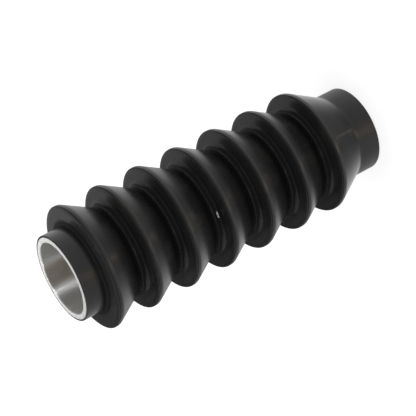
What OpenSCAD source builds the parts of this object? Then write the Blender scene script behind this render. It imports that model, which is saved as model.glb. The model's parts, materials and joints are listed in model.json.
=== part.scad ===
// Barbed rubber sleeve, moulded onto an aluminium tube.
// It stands on its foot end: +Z runs up the axis and the square rib flanks face up.

/* [Core tube] */
// Outside diameter of the aluminium tube
tube_od = 48.3; // [30:0.1:80]
// Wall thickness of the aluminium tube
tube_wall = 3.2; // [1.5:0.1:8]
// Chamfer that breaks the inner edge at each end of the tube
bore_chamfer = 0.4; // [0.2:0.1:1]

/* [Collars] */
// Rubber thickness over the tube on the plain collars
collar_wall = 1.1; // [0.8:0.1:6]
// Length of the plain collar below the lowest cone
foot_collar_len = 14; // [6:0.5:40]
// Length of the plain collar above the highest flank
head_collar_len = 12.7; // [6:0.1:40]

/* [Ribs] */
// Number of ribs along the sleeve
rib_count = 7; // [1:1:12]
// Distance from one square flank to the next
rib_pitch = 25; // [18:0.5:40]
// Height of the rib crests over the tube's surface
rib_rise = 12.15; // [8:0.05:20]
// Width of the crest before its edges are rounded
crest_w = 2.8; // [2:0.1:5]
// Slope of the conical flanks against the axis, in degrees
cone_angle = 29.8; // [20:0.1:45]
// Rubber thickness over the tube at the bottom of the valleys
valley_wall = 2.5; // [1.2:0.1:6]

/* [Roundings] */
// Rounding of the crest's upper edge, where it turns into the square flank
crest_edge_r = 1.2; // [0.3:0.1:2]
// Rounding of the crest's lower edge, where it turns into the cone
crest_blend_r = 5; // [0.5:0.1:8]
// Fillet where a square flank runs into the valley above it
flank_fillet = 3.6; // [0.5:0.1:8]
// Fillet where the valley runs into the cone above it
cone_fillet = 6.4; // [0.5:0.1:12]
// Fillet where a collar meets the ribs
collar_fillet = 1.6; // [0.3:0.1:4]
// Rounding of the rubber's outer edge at each end
end_edge_r = 0.4; // [0.1:0.1:0.7]

/* [Hidden] */
// Largest angle, in degrees, that one straight piece of a rounding spans
arc_step = 10;
// Overshoot of a cutting body past the face that it cuts
cut_over = 1;
$fn = 96;

tube_r = tube_od / 2;
bore_r = tube_r - tube_wall;
collar_r = tube_r + collar_wall;
crest_r = tube_r + rib_rise;

// The valley has a flat floor where the cone reaches it before the next flank.
cone_slope = tan(cone_angle);
valley_r = max(tube_r + valley_wall, crest_r - (rib_pitch - crest_w) * cone_slope);
floor_len = rib_pitch - crest_w - (crest_r - valley_r) / cone_slope;
has_floor = floor_len > 0.01;

foot_cone_len = (crest_r - collar_r) / cone_slope;
first_flank_z = foot_collar_len + foot_cone_len + crest_w;
last_flank_z = first_flank_z + (rib_count - 1) * rib_pitch;
sleeve_len = last_flank_z + head_collar_len;

// A corner of an outline is [radius from the axis, height, rounding].
function place(corner) = [corner[0], corner[1]];

// Angle that the outline turns through at corner i, positive to the left.
function turn(path, i) =
    let (into = place(path[i]) - place(path[i - 1]))
    let (out = place(path[i + 1]) - place(path[i]))
    atan2(into[0] * out[1] - into[1] * out[0], into * out);

// Length that the rounding of corner i takes from each of its two edges.
function reach(path, i) =
    i == 0 || i == len(path) - 1 ? 0 : path[i][2] * tan(abs(turn(path, i)) / 2);

// Share of its rounding that corner i keeps, where an edge is too short for both of its roundings.
function kept_share(path, i) =
    let (edge_in = norm(place(path[i]) - place(path[i - 1])))
    let (edge_out = norm(place(path[i + 1]) - place(path[i])))
    let (need_in = reach(path, i - 1) + reach(path, i))
    let (need_out = reach(path, i) + reach(path, i + 1))
    min(1, edge_in / need_in, edge_out / need_out);

// Points of the arc that rounds corner i.
function rounded_corner(path, i) =
    let (r = path[i][2] * kept_share(path, i))
    let (angle = turn(path, i))
    let (side = sign(angle))
    let (into = place(path[i]) - place(path[i - 1]))
    let (heading = atan2(into[1], into[0]))
    let (start = place(path[i]) - into / norm(into) * r * tan(abs(angle) / 2))
    let (centre = start + r * [-sin(heading), cos(heading)] * side)
    let (steps = ceil(abs(angle) / arc_step))
    [for (k = [0:steps])
        let (a = heading + angle * k / steps)
        centre + r * [sin(a), -cos(a)] * side];

// Points of an outline with each corner rounded, the first and last ones apart.
function rounded_outline(path) = [
    for (i = [0:len(path) - 1])
        each i == 0 || i == len(path) - 1 || path[i][2] == 0
            ? [place(path[i])]
            : rounded_corner(path, i)
];

// Corners of one rib, from the lower end of its crest to the valley above it.
function rib_corners(i) =
    let (flank_z = first_flank_z + i * rib_pitch)
    concat(
        [[crest_r, flank_z - crest_w, crest_blend_r]],
        [[crest_r, flank_z, crest_edge_r]],
        i < rib_count - 1 ? valley_corners(flank_z) : [[collar_r, flank_z, collar_fillet]]
    );

// Corners of the valley that starts at a flank, up to the foot of the next cone.
function valley_corners(flank_z) = concat(
    [[valley_r, flank_z, flank_fillet]],
    has_floor ? [[valley_r, flank_z + floor_len, cone_fillet]] : []
);

// Corners of the rubber's section, up the outside and back along the tube.
sleeve_corners = concat(
    [[tube_r, 0, 0]],
    [[collar_r, 0, end_edge_r]],
    [[collar_r, foot_collar_len, collar_fillet]],
    [for (i = [0:rib_count - 1]) each rib_corners(i)],
    [[collar_r, sleeve_len, end_edge_r]],
    [[tube_r, sleeve_len, 0]]
);

// Straight aluminium tube, flush with the rubber at both ends.
module core_tube() {
    color("silver")
    difference() {
        cylinder(h = sleeve_len, r = tube_r);
        translate([0, 0, -cut_over])
            cylinder(h = sleeve_len + 2 * cut_over, r = bore_r);
        bore_countersink();
        translate([0, 0, sleeve_len])
            mirror([0, 0, 1])
                bore_countersink();
    }
}

// Cone that breaks the bore's edge at the foot end.
module bore_countersink() {
    translate([0, 0, -cut_over])
        cylinder(
            h = bore_chamfer + cut_over,
            r1 = bore_r + bore_chamfer + cut_over,
            r2 = bore_r
        );
}

// Moulded rubber with square flanks above and conical flanks below each crest.
module rubber_sleeve() {
    color([0.11, 0.11, 0.115])
    rotate_extrude()
        polygon(rounded_outline(sleeve_corners));
}

core_tube();
rubber_sleeve();
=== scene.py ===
"""Looks of a corrugated rubber sleeve that is bonded round an aluminium tube."""

import json
import logging
import math
from dataclasses import dataclass
from enum import Enum

import bmesh
import bpy
from bpy.types import Material, Mesh, NodeTree, Object
from mathutils import Matrix, Vector


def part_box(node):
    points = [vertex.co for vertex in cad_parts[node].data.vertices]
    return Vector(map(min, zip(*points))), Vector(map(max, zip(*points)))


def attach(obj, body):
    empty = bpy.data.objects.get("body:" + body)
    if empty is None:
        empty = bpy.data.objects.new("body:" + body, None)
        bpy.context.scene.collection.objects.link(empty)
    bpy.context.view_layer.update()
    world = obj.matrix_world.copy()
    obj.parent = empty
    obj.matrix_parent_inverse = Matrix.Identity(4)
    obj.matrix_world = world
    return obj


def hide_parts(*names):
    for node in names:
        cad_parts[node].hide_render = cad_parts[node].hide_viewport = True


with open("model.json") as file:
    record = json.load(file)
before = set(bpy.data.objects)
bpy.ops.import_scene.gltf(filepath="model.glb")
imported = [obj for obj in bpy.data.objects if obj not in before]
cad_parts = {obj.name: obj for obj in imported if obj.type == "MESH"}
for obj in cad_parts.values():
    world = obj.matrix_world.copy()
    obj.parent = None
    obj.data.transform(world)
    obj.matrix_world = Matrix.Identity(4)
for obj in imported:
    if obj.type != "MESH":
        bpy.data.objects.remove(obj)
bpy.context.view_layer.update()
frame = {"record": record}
log = logging.getLogger("sleeve")

Colour = tuple[float, float, float, float]
Socket = bpy.types.NodeSocket
Sockets = bpy.types.bpy_prop_collection
Inputs = dict[str | int, object]
Range = tuple[float | Socket, float | Socket]
GroupInput = tuple[str, object]

MM = 0.001
BODY = "root"
WELD = 0.002 * MM
WHITE: Colour = (1.0, 1.0, 1.0, 1.0)


class CadNode(Enum):
    """CAD nodes that the visual pieces stand for."""

    TUBE = "core_tube"
    RUBBER = "rubber_sleeve"


class Slot(Enum):
    """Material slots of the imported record."""

    ALUMINIUM = "tube_aluminium"
    RUBBER = "black_rubber"


class Mount(Enum):
    """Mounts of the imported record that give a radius."""

    BORE = "tube_bore"
    COLLAR = "head_collar"


def mount_radius(mount: Mount) -> float:
    """Reads a round mount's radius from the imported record, in metres."""
    found = next(entry for entry in frame["record"]["mounts"] if entry["name"] == mount.value)
    return found["dims"]["r_mm"] * MM


def sine(degrees: float) -> float:
    """Gives the sine of an angle in degrees, as the height of a direction."""
    return math.sin(math.radians(degrees))


def round_axis(azimuth: float, radius: float, height: float) -> Vector:
    """Gives a point round the axis, with the azimuth from the camera side towards +X."""
    return Vector((radius * math.sin(azimuth), -radius * math.cos(azimuth), height))


def direction(azimuth: float, elevation: float) -> Vector:
    """Gives the unit vector of an azimuth and an elevation."""
    return round_axis(azimuth, math.cos(elevation), math.sin(elevation))


def linked(name: str, data: bpy.types.ID) -> Object:
    """Makes an object of a mesh, curve, lamp or camera and links it to the scene.

    Args:
        name: The object's name.
        data: What the object shows.

    Returns:
        The object, at the origin.
    """
    made = bpy.data.objects.new(name, data)
    bpy.context.scene.collection.objects.link(made)
    return made


@dataclass(frozen=True)
class Corner:
    """A corner of an outline that is turned round the axis."""

    radius: float
    height: float
    rounding: float = 0.0


@dataclass(frozen=True)
class SleeveSizes:
    """Sizes of the sleeve in metres, with +Z up the axis and the foot at zero."""

    length: float
    tube_r: float
    bore_r: float
    collar_r: float
    crest_r: float
    rib_count: int = 7
    rib_pitch: float = 25.0 * MM
    head_collar: float = 12.7 * MM
    foot_collar: float = 14.0 * MM
    crest_w: float = 2.8 * MM
    valley_wall: float = 2.5 * MM
    cone_slope: float = math.tan(math.radians(29.8))
    crest_edge: float = 1.0 * MM
    crest_blend: float = 2.0 * MM
    valley_fillet: float = 3.6 * MM
    cone_fillet: float = 6.4 * MM
    collar_fillet: float = 1.6 * MM
    end_edge: float = 0.4 * MM
    bore_chamfer: float = 0.4 * MM
    rim_w: float = 2.4 * MM
    rim_fall: float = 0.42 * MM
    rim_bend: float = 3.0 * MM

    @classmethod
    def from_frame(cls) -> "SleeveSizes":
        """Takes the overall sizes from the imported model.

        Returns:
            The sizes, with the section's own ones as they are set above.
        """
        rubber_low, rubber_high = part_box(CadNode.RUBBER.value)
        tube_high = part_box(CadNode.TUBE.value)[1]
        return cls(
            length=rubber_high.z - rubber_low.z,
            tube_r=tube_high.x,
            bore_r=mount_radius(Mount.BORE),
            collar_r=mount_radius(Mount.COLLAR),
            crest_r=rubber_high.x,
        )

    @property
    def valley_r(self) -> float:
        """Radius at the bottom of the valleys."""
        return self.tube_r + self.valley_wall

    @property
    def floor_len(self) -> float:
        """Length of the valley's floor before its fillets take it up."""
        cone = (self.crest_r - self.valley_r) / self.cone_slope
        return self.rib_pitch - self.crest_w - cone

    def flank_z(self, rib: int) -> float:
        """Gives the height of a rib's square flank, with the ribs counted from the foot."""
        top = self.length - self.head_collar
        return top - (self.rib_count - 1 - rib) * self.rib_pitch


@dataclass(frozen=True)
class Outline:
    """Corners of the rubber's section, split where the ribs repeat."""

    sizes: SleeveSizes
    seam_below_flank: float = 1.4 * MM
    end_step: float = 0.8 * MM

    def crest(self, rib: int) -> Corner:
        """Gives the point on a rib's crest where one stretch ends and the next starts."""
        return Corner(self.sizes.crest_r, self.sizes.flank_z(rib) - self.seam_below_flank)

    def rim(self, rib: int) -> list[Corner]:
        """Lists the corners of the rim that falls away from a flank to the crest's upper edge.

        Args:
            rib: The rib's number, counted from the foot.

        Returns:
            The corners from the outside in.
        """
        s = self.sizes
        flank = s.flank_z(rib)
        return [
            Corner(s.crest_r, flank - s.rim_fall, s.crest_edge),
            Corner(s.crest_r - s.rim_w, flank, s.rim_bend),
        ]

    def foot(self) -> list[Corner]:
        """Lists the corners from the tube at the foot to the lowest crest.

        Returns:
            The corners from the bottom up.
        """
        s = self.sizes
        return [
            Corner(s.tube_r, 0.0),
            Corner(s.collar_r, 0.0, s.end_edge),
            Corner(s.collar_r, s.foot_collar, s.collar_fillet),
            Corner(s.crest_r, s.flank_z(0) - s.crest_w, s.crest_blend),
            self.crest(0),
        ]

    def repeat(self, rib: int) -> list[Corner]:
        """Lists the corners from a rib's crest over the valley to the next crest.

        Args:
            rib: The lower rib's number, counted from the foot.

        Returns:
            The corners from the bottom up.
        """
        s = self.sizes
        flank = s.flank_z(rib)
        return [
            self.crest(rib),
            *self.rim(rib),
            Corner(s.valley_r, flank, s.valley_fillet),
            Corner(s.valley_r, flank + s.floor_len, s.cone_fillet),
            Corner(s.crest_r, flank + s.rib_pitch - s.crest_w, s.crest_blend),
            self.crest(rib + 1),
        ]

    def head(self) -> list[Corner]:
        """Lists the corners from the highest crest to the tube at the head.

        Returns:
            The corners from the bottom up.
        """
        s = self.sizes
        top_rib = s.rib_count - 1
        return [
            self.crest(top_rib),
            *self.rim(top_rib),
            Corner(s.collar_r, s.flank_z(top_rib), s.collar_fillet),
            Corner(s.collar_r, s.length, s.end_edge),
            Corner(s.tube_r, s.length),
        ]

    def inner_wall(self) -> list[Corner]:
        """Lists the corners back along the tube, from a short step below the head to the foot."""
        return [Corner(self.sizes.tube_r, z) for z in (self.sizes.length - self.end_step, 0.0)]

    def outside(self, end_gap: float) -> list[Corner]:
        """Lists the corners up the outside, from near the foot to near the head.

        Args:
            end_gap: The length that is left out at each end.

        Returns:
            The corners from the bottom up.
        """
        s = self.sizes
        corners = [Corner(s.collar_r, end_gap)] + self.foot()[2:-1]
        for rib in range(s.rib_count - 1):
            corners += self.repeat(rib)[1:-1]
        return corners + self.head()[1:-2] + [Corner(s.collar_r, s.length - end_gap)]


class TreeBuilder:
    """Adds nodes to a node tree and feeds their sockets."""

    RANGE_SOCKETS = ("Value", "From Min", "From Max", "To Min", "To Max")

    def __init__(self, tree: NodeTree) -> None:
        """Keeps the tree that the nodes go into."""
        self.tree = tree

    def add(self, kind: str, inputs: Inputs | None = None, **values: object) -> bpy.types.Node:
        """Adds one node, sets its properties and then feeds its inputs.

        Args:
            kind: The node's type name.
            inputs: A socket or a plain value for each input, by name or number.
            **values: Properties of the node, by name.

        Returns:
            The new node.
        """
        node = self.tree.nodes.new(kind)
        for name, value in values.items():
            setattr(node, name, value)
        for name, value in (inputs or {}).items():
            self.feed(node.inputs[name], value)
        return node

    def feed(self, target: Socket, value: object) -> None:
        """Links an input to another socket, or sets it to a plain value.

        Args:
            target: The input socket.
            value: An output socket or a plain value.
        """
        if isinstance(value, Socket):
            self.tree.links.new(value, target)
        else:
            target.default_value = value

    def math(self, operation: str, first: object, second: object = 0.0) -> Socket:
        """Adds a Math node on two sockets or numbers and returns its output."""
        return self.add("ShaderNodeMath", {0: first, 1: second}, operation=operation).outputs[0]

    def remap(self, value: Socket, old: Range, new: Range, shape: str = "SMOOTHSTEP") -> Socket:
        """Maps a value from one range onto another and returns the mapped socket."""
        inputs = dict(zip(self.RANGE_SOCKETS, (value, *old, *new)))
        return self.add("ShaderNodeMapRange", inputs, interpolation_type=shape).outputs["Result"]

    def hypotenuse(self, first: object, second: object) -> Socket:
        """Adds the distance that two sides at right angles span and returns its socket."""
        squares = [self.math("MULTIPLY", side, side) for side in (first, second)]
        return self.math("SQRT", self.math("ADD", *squares))

    def place(self) -> Socket:
        """Adds the surface point's place in the object's own frame and returns its socket."""
        return self.add("ShaderNodeTexCoord").outputs["Object"]

    def parts(self, vector: Socket) -> Sockets:
        """Splits a vector and returns the outputs X, Y and Z."""
        return self.add("ShaderNodeSeparateXYZ", {0: vector}).outputs

    def noise(self, vector: Socket, scale: Socket, detail: float = 2.0) -> Socket:
        """Adds a solid noise with so many patches a metre and returns its value from 0 to 1."""
        inputs = {"Vector": vector, "Scale": scale, "Detail": detail}
        return self.add("ShaderNodeTexNoise", inputs, noise_dimensions="3D").outputs["Fac"]

    def measure(self, operation: str, fixed: Vector) -> Socket:
        """Measures the surface point's place against a fixed vector and returns the socket."""
        inputs = {0: self.place(), 1: fixed}
        return self.add("ShaderNodeVectorMath", inputs, operation=operation).outputs["Value"]

    def blend(self, mask: Socket, low: Colour | Socket, high: Colour) -> Socket:
        """Mixes two colours by a mask.

        Args:
            mask: The share of the second colour.
            low: The first colour, or a socket that gives it.
            high: The second colour.

        Returns:
            The mixed colour's socket.
        """
        mix = self.add("ShaderNodeMix", {"Factor": mask}, data_type="RGBA")
        colours = [socket for socket in mix.inputs if socket.type == "RGBA"]
        for socket, colour in zip(colours, (low, high)):
            self.feed(socket, colour)
        return next(socket for socket in mix.outputs if socket.type == "RGBA")

    def rounded(self, outline: Socket, points: int) -> Socket:
        """Rounds the corners of a curve by the radius of each point.

        Args:
            outline: The curve with sharp corners.
            points: Points along each rounding.

        Returns:
            The rounded curve's socket.
        """
        inputs = {
            "Curve": outline,
            "Count": points,
            "Limit Radius": True,
            "Radius": self.add("GeometryNodeInputRadius").outputs[0],
        }
        return self.add("GeometryNodeFilletCurve", inputs, mode="POLY").outputs[0]


class GroupBuilder(TreeBuilder):
    """A node group under construction, with the sockets that it is given."""

    def __init__(
        self, name: str, kind: str, inputs: dict[str, GroupInput], outputs: dict[str, str]
    ) -> None:
        """Starts a group with its named sockets.

        Args:
            name: The group's name.
            kind: The tree's type name.
            inputs: Socket type and default value by name.
            outputs: Socket type by name.
        """
        super().__init__(bpy.data.node_groups.new(name, kind))
        self.identifiers = {}
        for label, (form, value) in inputs.items():
            socket = self.tree.interface.new_socket(label, in_out="INPUT", socket_type=form)
            if value is not None:
                socket.default_value = value
            self.identifiers[label] = socket.identifier
        for label, form in outputs.items():
            self.tree.interface.new_socket(label, in_out="OUTPUT", socket_type=form)
        self.given = self.add("NodeGroupInput").outputs


def outline_curve(name: str, stretches: list[list[Corner]], path_r: float | None = None) -> Object:
    """Makes a curve object of outline corners, whose point radius holds the rounding.

    Args:
        name: The object's name.
        stretches: One list of corners for each spline.
        path_r: Radius of the circle that carries a section, or nothing for a path over the X axis.

    Returns:
        The curve object.
    """
    curve = bpy.data.curves.new(name, "CURVE")
    curve.dimensions = "3D"
    for corners in stretches:
        spline = curve.splines.new("POLY")
        spline.points.add(len(corners) - 1)
        for point, corner in zip(spline.points, corners):
            if path_r is None:
                point.co = (corner.radius, 0.0, corner.height, 1.0)
            else:
                point.co = (corner.radius - path_r, -corner.height, 0.0, 1.0)
            point.radius = corner.rounding
    return linked(name, curve)


def face_outwards(mesh: Mesh) -> None:
    """Welds a mesh's doubles, turns its faces outwards and shades it smooth.

    Args:
        mesh: The mesh, which is changed in place.
    """
    work = bmesh.new()
    work.from_mesh(mesh)
    bmesh.ops.remove_doubles(work, verts=work.verts, dist=WELD)
    bmesh.ops.recalc_face_normals(work, faces=work.faces)
    for face in work.faces:
        face.smooth = True
    work.to_mesh(mesh)
    work.free()


class FormTree(GroupBuilder):
    """A Geometry Nodes group that makes a closed mesh of an outline."""

    def __init__(self, name: str, inputs: dict[str, GroupInput]) -> None:
        """Starts the group with an outline, a material and the form's own inputs."""
        shared = {"Outline": ("NodeSocketGeometry", None), "Material": ("NodeSocketMaterial", None)}
        super().__init__(name, "GeometryNodeTree", shared | inputs, {"Mesh": "NodeSocketGeometry"})

    def realise(self, name: str, source: Object, values: dict[str, object]) -> Object:
        """Runs the group on an object and keeps the result as a plain mesh piece.

        Args:
            name: The piece's name.
            source: The object that the group starts from, removed afterwards.
            values: The group's input values, by name.

        Returns:
            The mesh object, at the origin, with its faces pointing outwards.
        """
        modifier = source.modifiers.new("form", "NODES")
        modifier.node_group = self.tree
        for label, value in values.items():
            modifier[self.identifiers[label]] = value
        bpy.context.view_layer.update()
        graph = bpy.context.evaluated_depsgraph_get()
        mesh = bpy.data.meshes.new_from_object(source.evaluated_get(graph), depsgraph=graph)
        mesh.name = name
        bpy.data.objects.remove(source)
        face_outwards(mesh)
        return linked(name, mesh)


class TurnedForm(FormTree):
    """Geometry Nodes group that rounds an outline, repeats its unit and turns it round Z."""

    UNIT_SPLINE = 1
    ROUNDING_POINTS = 9
    END_FACING = 0.8
    SEGMENTS = 256

    def __init__(self, sizes: SleeveSizes) -> None:
        """Builds the group once for every turned piece.

        Args:
            sizes: The sleeve's sizes.
        """
        super().__init__(
            "turned_form",
            {
                "Unit Repeats": ("NodeSocketInt", 1),
                "Unit Pitch": ("NodeSocketFloat", sizes.rib_pitch),
                "Path Radius": ("NodeSocketFloat", sizes.tube_r),
                "Segments": ("NodeSocketInt", self.SEGMENTS),
                "End Material": ("NodeSocketMaterial", None),
            },
        )
        self.sizes = sizes
        self._wire()

    def _wire(self) -> None:
        """Adds and links the group's nodes."""
        given = self.given
        spline = self.add("GeometryNodeInputIndex").outputs[0]
        inputs = {2: spline, 3: self.UNIT_SPLINE}
        is_unit = self.add("FunctionNodeCompare", inputs, data_type="INT", operation="EQUAL")
        outline = self.rounded(given["Outline"], self.ROUNDING_POINTS)
        inputs = {"Geometry": outline, "Selection": is_unit.outputs[0]}
        split = self.add("GeometryNodeSeparateGeometry", inputs, domain="CURVE").outputs

        back = self.math("MULTIPLY", given["Unit Pitch"], -1.0)
        step = self.add("ShaderNodeCombineXYZ", {"Y": back}).outputs[0]
        row = self.add("GeometryNodeMeshLine", {"Count": given["Unit Repeats"], "Offset": step})
        inputs = {"Points": row.outputs[0], "Instance": split["Selection"]}
        units = self.add("GeometryNodeInstanceOnPoints", inputs)
        real = self.add("GeometryNodeRealizeInstances", {0: units.outputs[0]})
        whole = self.add("GeometryNodeJoinGeometry", {0: split["Inverted"]})
        self.feed(whole.inputs[0], real.outputs[0])

        inputs = {"Resolution": given["Segments"], "Radius": given["Path Radius"]}
        path = self.add("GeometryNodeCurvePrimitiveCircle", inputs)
        inputs = {"Curve": path.outputs["Curve"], "Profile Curve": whole.outputs[0]}
        sweep = self.add("GeometryNodeCurveToMesh", inputs)
        inputs = {"Geometry": sweep.outputs[0], "Distance": WELD}
        weld = self.add("GeometryNodeMergeByDistance", inputs)

        inputs = {"Geometry": weld.outputs[0], "Material": given["Material"]}
        sides = self.add("GeometryNodeSetMaterial", inputs)
        normal = self.add("GeometryNodeInputNormal").outputs["Normal"]
        steep = self.math("ABSOLUTE", self.parts(normal)["Z"])
        inputs = {
            "Geometry": sides.outputs[0],
            "Selection": self.math("GREATER_THAN", steep, self.END_FACING),
            "Material": given["End Material"],
        }
        ends = self.add("GeometryNodeSetMaterial", inputs)
        self.add("NodeGroupOutput", {0: ends.outputs[0]})

    def turn(
        self,
        name: str,
        stretches: list[list[Corner]],
        repeats: int,
        material: Material,
        end_material: Material | None = None,
    ) -> Object:
        """Turns an outline into a closed mesh piece.

        Args:
            name: The piece's name.
            stretches: The outline's splines, with the repeated unit second.
            repeats: How often the unit comes.
            material: The piece's material.
            end_material: The material of the faces that look up or down, if it differs.

        Returns:
            The mesh object, at the origin.
        """
        path_r = self.sizes.tube_r
        values = {
            "Unit Repeats": repeats,
            "Unit Pitch": self.sizes.rib_pitch,
            "Path Radius": path_r,
            "Segments": self.SEGMENTS,
            "Material": material,
            "End Material": end_material or material,
        }
        return self.realise(name, outline_curve(name + "_outline", stretches, path_r), values)


class FlashBead(FormTree):
    """Geometry Nodes group that sweeps a fine bead up an outline, once for each mould joint."""

    ROUNDING_POINTS = 7
    BEAD_SIDES = 8

    def __init__(self) -> None:
        """Builds the group once."""
        super().__init__(
            "flash_bead",
            {
                "Bead Radius": ("NodeSocketFloat", 0.1 * MM),
                "Joints": ("NodeSocketInt", 2),
                "First Turn": ("NodeSocketFloat", 0.0),
            },
        )
        self._wire()

    def _wire(self) -> None:
        """Adds and links the group's nodes."""
        given = self.given
        outline = self.rounded(given["Outline"], self.ROUNDING_POINTS)
        even = self.add("GeometryNodeSetCurveRadius", {"Curve": outline, "Radius": 1.0})
        inputs = {"Resolution": self.BEAD_SIDES, "Radius": given["Bead Radius"]}
        section = self.add("GeometryNodeCurvePrimitiveCircle", inputs).outputs["Curve"]
        inputs = {"Curve": even.outputs[0], "Profile Curve": section, "Fill Caps": True}
        bead = self.add("GeometryNodeCurveToMesh", inputs).outputs[0]
        inputs = {"Count": given["Joints"], "Offset": (0.0, 0.0, 0.0)}
        joints = self.add("GeometryNodeMeshLine", inputs).outputs[0]
        step = self.math("DIVIDE", math.tau, given["Joints"])
        turn = self.math("MULTIPLY", self.add("GeometryNodeInputIndex").outputs[0], step)
        turn = self.math("ADD", turn, given["First Turn"])
        around = self.add("ShaderNodeCombineXYZ", {"Z": turn}).outputs[0]
        inputs = {"Points": joints, "Instance": bead, "Rotation": around}
        beads = self.add("GeometryNodeInstanceOnPoints", inputs)
        real = self.add("GeometryNodeRealizeInstances", {0: beads.outputs[0]})
        inputs = {"Geometry": real.outputs[0], "Material": given["Material"]}
        dress = self.add("GeometryNodeSetMaterial", inputs)
        self.add("NodeGroupOutput", {0: dress.outputs[0]})


class ShaderGroups:
    """Shader node groups that the rubber and the aluminium share."""

    DRIFT_LENGTH = 0.6 * MM
    LINE_DETAIL = 2.0
    PATCH_DETAIL = 4.0
    FINE_RATIO = 40.0

    def __init__(self) -> None:
        """Builds the groups once."""
        self.turned_lines = self._turned_lines()
        self.cloud = self._cloud()

    def _turned_lines(self) -> NodeTree:
        """Builds fine lines that run round the axis, as turning leaves them.

        Returns:
            The group's tree.
        """
        nodes = GroupBuilder(
            "turned_lines",
            "ShaderNodeTree",
            {"Lines Per Metre": ("NodeSocketFloat", 2500.0), "Drift": ("NodeSocketFloat", 20.0)},
            {"Height": "NodeSocketFloat", "Radius": "NodeSocketFloat"},
        )
        given = nodes.given
        place = nodes.place()
        parts = nodes.parts(place)
        radius = nodes.hypotenuse(parts["X"], parts["Y"])
        along = nodes.math("ADD", radius, parts["Z"])
        drift = nodes.math("MULTIPLY", nodes.noise(place, given["Drift"]), self.DRIFT_LENGTH)
        wavy = nodes.math("ADD", along, drift)
        inputs = {"W": wavy, "Scale": given["Lines Per Metre"], "Detail": self.LINE_DETAIL}
        lines = nodes.add("ShaderNodeTexNoise", inputs, noise_dimensions="1D")
        nodes.add("NodeGroupOutput", {"Height": lines.outputs["Fac"], "Radius": radius})
        return nodes.tree

    def _cloud(self) -> NodeTree:
        """Builds a soft mottling mask, as handling leaves it on a surface.

        Returns:
            The group's tree.
        """
        nodes = GroupBuilder(
            "handled_cloud",
            "ShaderNodeTree",
            {
                "Patch Scale": ("NodeSocketFloat", 60.0),
                "Low": ("NodeSocketFloat", 0.4),
                "High": ("NodeSocketFloat", 0.7),
            },
            {"Mask": "NodeSocketFloat", "Fine": "NodeSocketFloat"},
        )
        given = nodes.given
        place = nodes.place()
        patch = nodes.noise(place, given["Patch Scale"], self.PATCH_DETAIL)
        soft = nodes.remap(patch, (given["Low"], given["High"]), (0.0, 1.0))
        fine = nodes.noise(place, nodes.math("MULTIPLY", given["Patch Scale"], self.FINE_RATIO))
        nodes.add("NodeGroupOutput", {"Mask": soft, "Fine": fine})
        return nodes.tree


@dataclass(frozen=True)
class Fade:
    """A smooth change of a value between two distances."""

    start: float
    end: float
    before: float
    after: float

    def add(self, nodes: TreeBuilder, distance: Socket) -> Socket:
        """Adds the change to a node tree and returns the faded value's socket."""
        return nodes.remap(distance, (self.start, self.end), (self.before, self.after))


class Surface(TreeBuilder):
    """A material under construction, with its Principled BSDF at hand."""

    def __init__(self, name: str) -> None:
        """Starts a material with a Principled BSDF.

        Args:
            name: The material's name.
        """
        self.material = bpy.data.materials.new(name)
        self.material.use_nodes = True
        super().__init__(self.material.node_tree)
        self.shader = self.tree.nodes["Principled BSDF"]

    def spread(self, mask: Socket, low: float, high: float) -> Socket:
        """Maps a mask from 0 to 1 onto a range and returns the mapped socket."""
        return self.remap(mask, (0.0, 1.0), (low, high), "LINEAR")

    def bump(self, height: Socket, depth: float, below: Socket | None = None) -> Socket:
        """Adds a Bump node.

        Args:
            height: The height from 0 to 1.
            depth: The real depth of that height in metres.
            below: The normal of a bump underneath, if there is one.

        Returns:
            The bent normal.
        """
        inputs = {"Strength": 1.0, "Distance": depth, "Height": height}
        if below is not None:
            inputs["Normal"] = below
        return self.add("ShaderNodeBump", inputs).outputs["Normal"]

    def lines(self, groups: ShaderGroups, per_metre: float) -> Sockets:
        """Places the group of turned lines and returns its outputs, Height and Radius."""
        inputs = {"Lines Per Metre": per_metre}
        return self.add("ShaderNodeGroup", inputs, node_tree=groups.turned_lines).outputs

    def finish(self, inputs: dict[str, object]) -> Material:
        """Feeds the shader and gives the material.

        Args:
            inputs: A socket or a plain value for each of the shader's inputs, by name.

        Returns:
            The finished material.
        """
        for name, value in inputs.items():
            self.feed(self.shader.inputs[name], value)
        return self.material


@dataclass(frozen=True)
class Patches:
    """Size and contrast of a finish's mottling."""

    scale: float
    low: float
    high: float

    def add(self, surface: Surface, groups: ShaderGroups) -> Sockets:
        """Places the mottling group in a material and returns its outputs, Mask and Fine."""
        inputs = {"Patch Scale": self.scale, "Low": self.low, "High": self.high}
        return surface.add("ShaderNodeGroup", inputs, node_tree=groups.cloud).outputs


@dataclass(frozen=True)
class WarmDab:
    """A soft warm dab of colour, placed by azimuth, height and radius: dust on the ribs, and a painted
    highlight on the head collar.
    """

    azimuth: float
    height: float
    radius: float
    size: float

    def mask(self, surface: Surface) -> Socket:
        """Adds the dab's mask to a material and returns its socket."""
        away = surface.measure("DISTANCE", round_axis(self.azimuth, self.radius, self.height))
        return Fade(0.0, self.size, 1.0, 0.0).add(surface, away)


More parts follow.
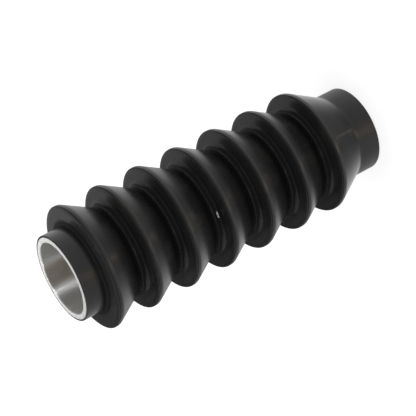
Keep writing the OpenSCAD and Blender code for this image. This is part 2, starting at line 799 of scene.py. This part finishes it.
@dataclass(frozen=True)
class RubberFinish:
    """Black moulded rubber with bloom, painted shade in the valleys, on the collars and in the head
    collar's corner, dull crests, a head end painted lighter for the light it catches, dusty dabs and a
    painted warm highlight on the head collar.
    """

    name: str = "moulded_rubber"
    patches: Patches = Patches(45.0, 0.42, 0.75)
    clean: Colour = (0.0145, 0.0146, 0.0152, 1.0)
    bloom: Colour = (0.024, 0.0225, 0.0205, 1.0)
    # Painted shade: the near-black colour that the valleys, the collars and the head collar's corner are
    # darkened to.
    painted_shade: Colour = (0.005, 0.0052, 0.0056, 1.0)
    valley_shade: Fade = Fade(27.0 * MM, 31.0 * MM, 1.0, 0.0)
    # Warm brown of the dabs: dust on the ribs, and a painted highlight on the head collar.
    dust_and_highlight: Colour = (0.05, 0.039, 0.026, 1.0)
    worn: Fade = Fade(35.0 * MM, 35.8 * MM, 0.0, 1.0)
    worn_gloss: float = 0.1
    rubbed_below: Fade = Fade(34.0 * MM, 37.0 * MM, 1.0, 0.0)
    rubbed_above: Fade = Fade(11.0 * MM, 16.0 * MM, -1.0, 1.0)
    rubbed_gloss: float = -0.12
    # Painted light: a lighter grey over the head end, from just below the top flank up, for the light
    # that end catches.
    painted_head_light: Colour = (0.036, 0.0352, 0.035, 1.0)
    head_light_fade: Fade = Fade(183.5 * MM, 189.5 * MM, 0.0, 1.0)
    ior: float = 1.52
    sheen: float = 0.5
    # Painted shade in the corner where the head collar meets the top flank, also made rougher there.
    shade_corner_r: float = 25.7 * MM
    shade_corner_z: float = 186.6 * MM
    corner: Fade = Fade(1.0 * MM, 4.0 * MM, 1.0, 0.0)
    corner_gloss: float = 0.4
    dust_and_highlight_dabs: tuple[WarmDab, ...] = (
        WarmDab(math.radians(1.0), 104.0 * MM, 32.3 * MM, 3.4 * MM),
        WarmDab(math.radians(-4.0), 17.0 * MM, 27.0 * MM, 4.5 * MM),
        WarmDab(math.radians(128.0), 71.0 * MM, 31.0 * MM, 4.0 * MM),
        # Painted highlight: this dab on the head collar stands in for a warm reflection.
        WarmDab(math.radians(-16.0), 192.0 * MM, 25.2 * MM, 7.5 * MM),
    )
    gloss_low: float = 0.22
    gloss_high: float = 0.32
    lines_per_metre: float = 2200.0
    line_depth: float = 0.002 * MM
    grain_depth: float = 0.0006 * MM

    def make(self, groups: ShaderGroups) -> Material:
        """Builds the material.

        Args:
            groups: The shared shader groups.

        Returns:
            The finished material.
        """
        surface = Surface(self.name)
        cloud = self.patches.add(surface, groups)
        lines = surface.lines(groups, self.lines_per_metre)
        radius = lines["Radius"]
        height = surface.parts(surface.place())["Z"]
        # Painted shade: the mask falls off with the distance from the head collar's corner.
        out = surface.math("SUBTRACT", radius, self.shade_corner_r)
        up = surface.math("SUBTRACT", height, self.shade_corner_z)
        corner = self.corner.add(surface, surface.hypotenuse(out, up))

        colour = surface.blend(cloud["Mask"], self.clean, self.bloom)
        layers = (
            # Painted shade, darker towards the axis over the valleys and the collars.
            (self.valley_shade.add(surface, radius), self.painted_shade),
            # Painted light on the head end.
            (self.head_light_fade.add(surface, height), self.painted_head_light),
            # Painted shade in the head collar's corner.
            (corner, self.painted_shade),
        )
        for mask, layer in layers:
            colour = surface.blend(mask, colour, layer)
        for dab in self.dust_and_highlight_dabs:
            patchy = surface.math("MULTIPLY", dab.mask(surface), cloud["Fine"])
            colour = surface.blend(patchy, colour, self.dust_and_highlight)

        rough = surface.spread(cloud["Mask"], self.gloss_low, self.gloss_high)
        below = self.rubbed_below.add(surface, height)
        above = self.rubbed_above.add(surface, height)
        changes = (
            (self.worn.add(surface, radius), self.worn_gloss),
            (surface.math("MULTIPLY", below, above), self.rubbed_gloss),
            (corner, self.corner_gloss),
        )
        for share, change in changes:
            rough = surface.math("ADD", rough, surface.math("MULTIPLY", share, change))
        coarse = surface.bump(lines["Height"], self.line_depth)
        return surface.finish(
            {
                "Base Color": colour,
                "Roughness": rough,
                "Normal": surface.bump(cloud["Fine"], self.grain_depth, coarse),
                "IOR": self.ior,
                "Specular IOR Level": self.sheen,
            }
        )


@dataclass(frozen=True)
class AluminiumFinish:
    """Bare aluminium, satin from fine lines round the axis, with a thin oxide skin and a painted
    reflection band along the axis on one side.
    """

    name: str
    bright: Colour
    dull: Colour
    gloss_low: float
    gloss_high: float
    metal_low: float
    metal_high: float
    stretch: float
    line_depth: float
    lines_per_metre: float
    # Painted reflection: the colour of a band laid along the axis at one azimuth.
    painted_band: Colour
    patches: Patches = Patches(70.0, 0.35, 0.75)
    stretch_turn: float = 0.25
    painted_band_azimuth: float = math.radians(168.0)
    painted_band_fade: Fade = Fade(math.cos(math.radians(21.0)), math.cos(math.radians(7.0)), 0.0, 1.0)

    def painted_band_mask(self, surface: Surface, radius: Socket) -> Socket:
        """Adds the mask of the painted reflection band that runs along the axis and returns its socket.
        """
        towards = surface.measure("DOT_PRODUCT", round_axis(self.painted_band_azimuth, 1.0, 0.0))
        return self.painted_band_fade.add(surface, surface.math("DIVIDE", towards, radius))

    def make(self, groups: ShaderGroups) -> Material:
        """Builds the material.

        Args:
            groups: The shared shader groups.

        Returns:
            The finished material.
        """
        surface = Surface(self.name)
        cloud = self.patches.add(surface, groups)
        lines = surface.lines(groups, self.lines_per_metre)
        colour = surface.blend(cloud["Mask"], self.bright, self.dull)
        painted_band_share = self.painted_band_mask(surface, lines["Radius"])
        around = surface.add("ShaderNodeTangent", direction_type="RADIAL", axis="Z")
        return surface.finish(
            {
                "Base Color": surface.blend(painted_band_share, colour, self.painted_band),
                "Roughness": surface.spread(lines["Height"], self.gloss_low, self.gloss_high),
                "Normal": surface.bump(lines["Height"], self.line_depth),
                "Metallic": surface.spread(cloud["Mask"], self.metal_high, self.metal_low),
                "Anisotropic": self.stretch,
                "Anisotropic Rotation": self.stretch_turn,
                "Tangent": around.outputs[0],
            }
        )


DRAWN_BORE = AluminiumFinish(
    name="drawn_bore",
    bright=(0.8, 0.795, 0.785, 1.0),
    dull=(0.66, 0.645, 0.61, 1.0),
    gloss_low=0.33,
    gloss_high=0.45,
    metal_low=0.8,
    metal_high=0.9,
    stretch=0.96,
    line_depth=0.05 * MM,
    lines_per_metre=900.0,
    # Painted reflection: the darker brownish band down the bore.
    painted_band=(0.72, 0.655, 0.565, 1.0),
)
SAWN_END = AluminiumFinish(
    name="sawn_end",
    bright=(0.87, 0.87, 0.865, 1.0),
    dull=(0.8, 0.795, 0.785, 1.0),
    gloss_low=0.5,
    gloss_high=0.62,
    metal_low=0.28,
    metal_high=0.4,
    stretch=0.3,
    line_depth=0.02 * MM,
    lines_per_metre=2600.0,
    # Painted reflection band, here almost as pale as the end itself.
    painted_band=(0.83, 0.825, 0.81, 1.0),
)


@dataclass(frozen=True)
class MarkFinish:
    """Pale dry mark that a knock or a tool leaves; on the bore's score its near-white colour is a painted
    highlight.
    """

    name: str
    pale: Colour
    grey: Colour
    patches: Patches = Patches(900.0, 0.35, 0.7)
    roughness: float = 0.6

    def make(self, groups: ShaderGroups) -> Material:
        """Builds the material.

        Args:
            groups: The shared shader groups.

        Returns:
            The finished material.
        """
        surface = Surface(self.name)
        cloud = self.patches.add(surface, groups)
        colour = surface.blend(cloud["Mask"], self.pale, self.grey)
        return surface.finish({"Base Color": colour, "Roughness": self.roughness})


# Painted highlight: the near-white colour of the bore's score stands in for a glint on it.
SCORE_PAINTED_GLINT = MarkFinish("bright_score", (0.95, 0.95, 0.94, 1.0), (0.88, 0.88, 0.87, 1.0))
CHALKY_NICK = MarkFinish("chalky_nick", (0.7, 0.7, 0.69, 1.0), (0.34, 0.34, 0.33, 1.0))


def bare_material(name: str) -> tuple[Material, TreeBuilder]:
    """Starts a material whose tree is empty.

    Args:
        name: The material's name.

    Returns:
        The material and the builder of its tree.
    """
    material = bpy.data.materials.new(name)
    material.use_nodes = True
    material.node_tree.nodes.clear()
    return material, TreeBuilder(material.node_tree)


@dataclass(frozen=True)
class FloorFinish:
    """Plain white floor that keeps a soft shadow."""

    name: str = "white_floor"
    albedo: Colour = (0.42, 0.42, 0.42, 1.0)
    glow: float = 0.74

    def make(self) -> Material:
        """Builds the material.

        Returns:
            The finished material.
        """
        material, nodes = bare_material(self.name)
        diffuse = nodes.add("ShaderNodeBsdfDiffuse", {"Color": self.albedo})
        camera = nodes.add("ShaderNodeLightPath").outputs["Is Camera Ray"]
        strength = nodes.math("MULTIPLY", camera, self.glow)
        seen = nodes.add("ShaderNodeEmission", {"Strength": strength})
        both = nodes.add("ShaderNodeAddShader", {0: diffuse.outputs[0], 1: seen.outputs[0]})
        nodes.add("ShaderNodeOutputMaterial", {"Surface": both.outputs[0]})
        return material


@dataclass(frozen=True)
class MirroredRoom:
    """What the gloss reflects: a white table with a warm strip, a dark horizon and a dim ceiling."""

    name: str = "mirrored_room"
    warm: Colour = (1.0, 0.8, 0.6, 1.0)
    horizon_level: float = 0.07
    table_level: float = 0.86
    ceiling_level: float = 0.17
    table: Fade = Fade(sine(-19.0), sine(-13.0), 1.0, 0.0)
    table_tilt: float = -0.055
    near: Fade = Fade(-1.0, -0.2, 0.72, 1.0)
    below: Fade = Fade(sine(-78.0), sine(-48.0), 0.3, 1.0)
    ceiling: Fade = Fade(sine(44.0), sine(60.0), 0.0, 1.0)
    diagonal: float = math.sqrt(0.5)
    rear_left: Fade = Fade(0.0, 0.6, 0.0, 0.38)
    shallow: Fade = Fade(sine(-40.0), sine(-30.0), 0.0, 1.0)
    strip_azimuth: float = math.radians(-21.0)
    strip: Fade = Fade(math.radians(3.0), math.radians(10.0), 1.0, 0.0)
    strip_top: Fade = Fade(sine(-17.0), sine(-11.0), 1.0, 0.0)
    strip_level: float = 1.0

    def make(self) -> Material:
        """Builds the light of the room by direction from the sleeve.

        Returns:
            The finished material.
        """
        material, nodes = bare_material(self.name)
        facing = nodes.add("ShaderNodeVectorMath", {0: nodes.place()}, operation="NORMALIZE")
        parts = nodes.parts(facing.outputs[0])
        x, y, rise = parts["X"], parts["Y"], parts["Z"]
        azimuth = nodes.math("ARCTAN2", x, nodes.math("MULTIPLY", y, -1.0))
        off = nodes.math("ABSOLUTE", nodes.math("SUBTRACT", azimuth, self.strip_azimuth))
        strip = nodes.math("MULTIPLY", self.strip.add(nodes, off), self.strip_top.add(nodes, rise))
        ceiling = self.ceiling.add(nodes, rise)
        tilt = nodes.math("MULTIPLY", nodes.math("ADD", y, 1.0), self.table_tilt)
        across = nodes.math("MULTIPLY", nodes.math("SUBTRACT", y, x), self.diagonal)
        lost = nodes.math("MULTIPLY", self.rear_left.add(nodes, across), self.shallow.add(nodes, rise))
        kept = nodes.math("SUBTRACT", 1.0, lost)
        table = self.table.add(nodes, nodes.math("ADD", rise, tilt))
        for factor in (self.below.add(nodes, rise), kept, self.near.add(nodes, y)):
            table = nodes.math("MULTIPLY", table, factor)
        level = nodes.math("MULTIPLY", table, self.table_level)
        for share, full in ((strip, self.strip_level), (ceiling, self.ceiling_level)):
            level = nodes.math("ADD", level, nodes.math("MULTIPLY", share, full))
        level = nodes.math("ADD", level, self.horizon_level)
        tint = nodes.blend(strip, WHITE, self.warm)
        light = nodes.add("ShaderNodeEmission", {"Color": tint, "Strength": level})
        nodes.add("ShaderNodeOutputMaterial", {"Surface": light.outputs[0]})
        return material


@dataclass
class CoreTube:
    """The aluminium tube that the rubber is bonded to."""

    sizes: SleeveSizes
    edge: float = 0.06 * MM

    def outline(self) -> list[Corner]:
        """Lists the corners of the tube's wall, once round.

        Returns:
            The corners, which start and end halfway up the outside.
        """
        s = self.sizes
        mouth_r = s.bore_r + s.bore_chamfer
        start = Corner(s.tube_r, 0.5 * s.length)
        return [
            start,
            Corner(s.tube_r, s.length, self.edge),
            Corner(mouth_r, s.length, self.edge),
            Corner(s.bore_r, s.length - s.bore_chamfer, self.edge),
            Corner(s.bore_r, s.bore_chamfer, self.edge),
            Corner(mouth_r, 0.0, self.edge),
            Corner(s.tube_r, 0.0, self.edge),
            start,
        ]

    def build(self, form: TurnedForm, groups: ShaderGroups) -> Object:
        """Turns the tube and puts it in the CAD node's place.

        Args:
            form: The tree that turns outlines.
            groups: The shader groups that its finishes use.

        Returns:
            The finished piece.
        """
        piece = form.turn(
            "aluminium_tube",
            [self.outline()],
            repeats=0,
            material=DRAWN_BORE.make(groups),
            end_material=SAWN_END.make(groups),
        )
        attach(piece, BODY)
        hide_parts(CadNode.TUBE.value)
        return piece


@dataclass
class RubberSleeve:
    """The moulded rubber with its ring ribs and collars."""

    sizes: SleeveSizes

    def build(self, form: TurnedForm, material: Material) -> Object:
        """Turns the rubber and puts it in the CAD node's place.

        Args:
            form: The tree that turns outlines.
            material: The rubber's material.

        Returns:
            The finished piece.
        """
        outline = Outline(self.sizes)
        piece = form.turn(
            "moulded_sleeve",
            [outline.foot(), outline.repeat(0), outline.head() + outline.inner_wall()],
            repeats=self.sizes.rib_count - 1,
            material=material,
        )
        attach(piece, BODY)
        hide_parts(CadNode.RUBBER.value)
        return piece


@dataclass
class MouldFlash:
    """Fine beads where the two halves of the mould met."""

    sizes: SleeveSizes
    azimuth: float = math.radians(-17.8)
    bead_r: float = 0.13 * MM
    end_gap: float = 0.8 * MM
    joints: int = 2

    def build(self, bead: FlashBead, material: Material) -> Object:
        """Sweeps the beads up the outside of the rubber.

        Args:
            bead: The tree that sweeps them.
            material: The rubber's material.

        Returns:
            The finished piece.
        """
        corners = Outline(self.sizes).outside(self.end_gap)
        curve = outline_curve("flash_outline", [corners])
        values = {
            "Bead Radius": self.bead_r,
            "Joints": self.joints,
            "First Turn": self.azimuth - 0.5 * math.pi,
            "Material": material,
        }
        piece = bead.realise("mould_flash", curve, values)
        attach(piece, BODY)
        return piece


@dataclass
class Sliver:
    """A thin closed lens that sits in a surface, the base of the sleeve's small marks."""

    sizes: SleeveSizes
    name: str = "sliver"
    proud: float = 0.06 * MM
    sunk: float = 0.1 * MM
    columns: int = 16
    rows: int = 6

    def point(self, along: float, across: float, lift: float) -> Vector:
        """Gives a point of the lens.

        Args:
            along: Share of the half length, from -1 to 1.
            across: Share of the half width, from -1 to 1.
            lift: Height over the surface.

        Returns:
            The point in the sleeve's frame.
        """
        raise NotImplementedError

    def build(self, material: Material) -> Object:
        """Builds the lens from its upper and lower sheets, which meet at the rim.

        Args:
            material: The mark's material.

        Returns:
            The finished piece.
        """
        work = bmesh.new()
        along = [2.0 * i / self.columns - 1.0 for i in range(self.columns + 1)]
        across = [2.0 * j / self.rows - 1.0 for j in range(self.rows + 1)]
        for lift in (self.proud, -self.sunk):
            grid = [
                [work.verts.new(self.point(a, c, lift * ((1.0 - a * a) * (1.0 - c * c)))) for c in across]
                for a in along
            ]
            for i in range(self.columns):
                for j in range(self.rows):
                    corners = grid[i][j], grid[i + 1][j], grid[i + 1][j + 1], grid[i][j + 1]
                    work.faces.new(corners)
        mesh = bpy.data.meshes.new(self.name)
        work.to_mesh(mesh)
        work.free()
        face_outwards(mesh)
        mesh.materials.append(material)
        piece = linked(self.name, mesh)
        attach(piece, BODY)
        return piece


@dataclass
class ValleyNick(Sliver):
    """Pale sliver where the fillet above a flank was knocked."""

    name: str = "valley_nick"
    rib: int = 3
    azimuth: float = math.radians(-17.4)
    half_arc: float = math.radians(4.6)
    slope: float = math.radians(34.0)
    half_slope: float = math.radians(7.5)
    bow: float = math.radians(4.0)

    def point(self, along: float, across: float, lift: float) -> Vector:
        """Gives a point on the valley's fillet.

        Args:
            along: Share of the half length, from -1 to 1.
            across: Share of the half width, from -1 to 1.
            lift: Height over the surface.

        Returns:
            The point in the sleeve's frame.
        """
        s = self.sizes
        width = self.half_slope * (1.0 - along * along)
        slope = self.slope + self.bow * along * along + width * across
        reach = s.valley_fillet - lift
        radius = s.valley_r + s.valley_fillet - reach * math.cos(slope)
        height = s.flank_z(self.rib) + s.valley_fillet - reach * math.sin(slope)
        return round_axis(self.azimuth + self.half_arc * along, radius, height)


@dataclass
class BoreScore(Sliver):
    """Score that runs down the bore from the head, painted near white as a highlight."""

    name: str = "bore_score"
    proud: float = 0.03 * MM
    azimuth: float = math.radians(192.5)
    half_width: float = 0.6 * MM
    start: float = 0.6 * MM
    length: float = 6.0 * MM

    def point(self, along: float, across: float, lift: float) -> Vector:
        """Gives a point on the bore's wall.

        Args:
            along: Share of the half length, from -1 to 1.
            across: Share of the half width, from -1 to 1.
            lift: Height over the surface.

        Returns:
            The point in the sleeve's frame.
        """
        s = self.sizes
        width = self.half_width * (1.0 - along * along)
        around = self.azimuth + width * across / s.bore_r
        height = s.length - self.start - 0.5 * self.length * (1.0 + along)
        return round_axis(around, s.bore_r - lift, height)


@dataclass(frozen=True)
class SoftBox:
    """A soft box that faces the sleeve, with its angles in degrees, from the camera side towards +X."""

    name: str
    azimuth: float
    elevation: float
    distance: float
    width: float
    height: float
    level: float
    offset: tuple[float, float, float] = (0.0, 0.0, 0.0)
    spread: float = 180.0

    @property
    def grid_gain(self) -> float:
        """How much brighter a grid that narrows the beam makes the face along its axis."""
        half = math.radians(0.5 * self.spread)
        return math.tan(half) / (math.tan(half) - half)

    def hang(self, aim: Vector) -> None:
        """Makes the lamp, with its level as the brightness of its face.

        Args:
            aim: The point that the box faces.
        """
        data = bpy.data.lights.new(self.name, "AREA")
        data.shape = "RECTANGLE"
        data.size = self.width
        data.size_y = self.height
        data.energy = self.level * math.pi * self.width * self.height / self.grid_gain
        data.spread = math.radians(self.spread)
        away = direction(math.radians(self.azimuth), math.radians(self.elevation))
        lamp = linked(self.name, data)
        lamp.visible_camera = False
        lamp.location = aim + Vector(self.offset) + away * self.distance
        lamp.rotation_euler = away.to_track_quat("Z", "Y").to_euler()


@dataclass
class Studio:
    """Floor, light and camera."""

    elevation: float = math.radians(23.95)
    azimuth: float = math.radians(0.18)
    roll: float = math.radians(117.48)
    distance: float = 0.8946
    aim: tuple[float, float, float] = (-0.00256, 0.00003, 0.1043)
    lens: float = 139.55
    sensor: float = 36.0
    floor_half: float = 6.0
    floor_drop: float = 0.05 * MM
    room_radius: float = 5.0
    room_splits: int = 4
    side_level: float = 1.0
    top_level: float = 0.8
    boxes: tuple[SoftBox, ...] = (
        SoftBox("back_box", 150.0, 24.0, distance=1.2, width=1.3, height=0.85, level=0.26),
        SoftBox("left_box", -120.0, 38.0, distance=1.2, width=0.95, height=0.95, level=0.32),
        SoftBox(
            "bore_box",
            34.0,
            50.0,
            distance=0.17,
            width=0.06,
            height=0.05,
            level=38.0,
            offset=(0.006, 0.02, 0.086),
            spread=18.0,
        ),
        SoftBox(
            "bore_fill",
            -98.0,
            55.0,
            distance=0.17,
            width=0.05,
            height=0.05,
            level=27.0,
            offset=(0.015, 0.013, 0.086),
            spread=16.0,
        ),
    )

    def build(self) -> None:
        """Makes the floor, the light and the camera."""
        self.make_floor()
        self.make_room()
        self.make_light()
        self.make_camera()

    def make_floor(self) -> None:
        """Lays a plain floor just under the sleeve's foot."""
        h = self.floor_half
        mesh = bpy.data.meshes.new("floor")
        mesh.from_pydata([(-h, -h, 0), (h, -h, 0), (h, h, 0), (-h, h, 0)], [], [(0, 1, 2, 3)])
        mesh.transform(Matrix.Translation((0.0, 0.0, -self.floor_drop)))
        mesh.materials.append(FloorFinish().make())
        floor = linked("floor", mesh)
        floor.visible_glossy = False

    def make_room(self) -> None:
        """Hangs the dome that only gloss sees."""
        mesh = bpy.data.meshes.new("room")
        work = bmesh.new()
        bmesh.ops.create_icosphere(work, subdivisions=self.room_splits, radius=self.room_radius)
        work.to_mesh(mesh)
        work.free()
        mesh.materials.append(MirroredRoom().make())
        room = linked("room", mesh)
        for ray in ("camera", "diffuse", "transmission", "volume_scatter", "shadow"):
            setattr(room, "visible_" + ray, False)

    def make_light(self) -> None:
        """Sets the soft light all round, which gloss doesn't see, and the soft boxes."""
        world = bpy.data.worlds.new("studio")
        world.use_nodes = True
        nodes = TreeBuilder(world.node_tree)
        back = world.node_tree.nodes["Background"]
        rise = nodes.parts(nodes.add("ShaderNodeTexCoord").outputs["Generated"])["Z"]
        soft = Fade(0.0, 1.0, self.side_level, self.top_level).add(nodes, rise)
        seen = nodes.add("ShaderNodeLightPath").outputs["Is Camera Ray"]
        nodes.feed(back.inputs["Color"], WHITE)
        nodes.feed(back.inputs["Strength"], nodes.math("MAXIMUM", soft, seen))
        bpy.context.scene.world = world
        world.cycles_visibility.glossy = False
        for box in self.boxes:
            box.hang(Vector(self.aim))

    def make_camera(self) -> None:
        """Places the camera at the photograph's viewing angle and roll."""
        back = direction(self.azimuth, self.elevation)
        level = Vector((0.0, 0.0, 1.0))
        upright = (level - back * level.dot(back)).normalized()
        right = upright.cross(back)
        up = upright * math.cos(self.roll) + right * math.sin(self.roll)
        turn = Matrix((up.cross(back), up, back)).transposed()
        data = bpy.data.cameras.new("camera")
        data.lens = self.lens
        data.sensor_width = self.sensor
        camera = linked("camera", data)
        place = Vector(self.aim) + back * self.distance
        camera.matrix_world = Matrix.Translation(place) @ turn.to_4x4()
        bpy.context.scene.camera = camera


def main() -> None:
    """Builds the sleeve, its finishes and the studio."""
    logging.basicConfig(level=logging.INFO, format="%(name)s: %(message)s")
    bpy.context.scene.view_settings.view_transform = "Standard"
    sizes = SleeveSizes.from_frame()
    groups = ShaderGroups()
    form = TurnedForm(sizes)
    rubber = RubberFinish().make(groups)
    pieces = [
        CoreTube(sizes).build(form, groups),
        RubberSleeve(sizes).build(form, rubber),
        MouldFlash(sizes).build(FlashBead(), rubber),
        ValleyNick(sizes).build(CHALKY_NICK.make(groups)),
        BoreScore(sizes).build(SCORE_PAINTED_GLINT.make(groups)),
    ]
    for piece in pieces:
        log.info("%s: %d faces", piece.name, len(piece.data.polygons))
    Studio().build()


if __name__ == "__main__":
    main()
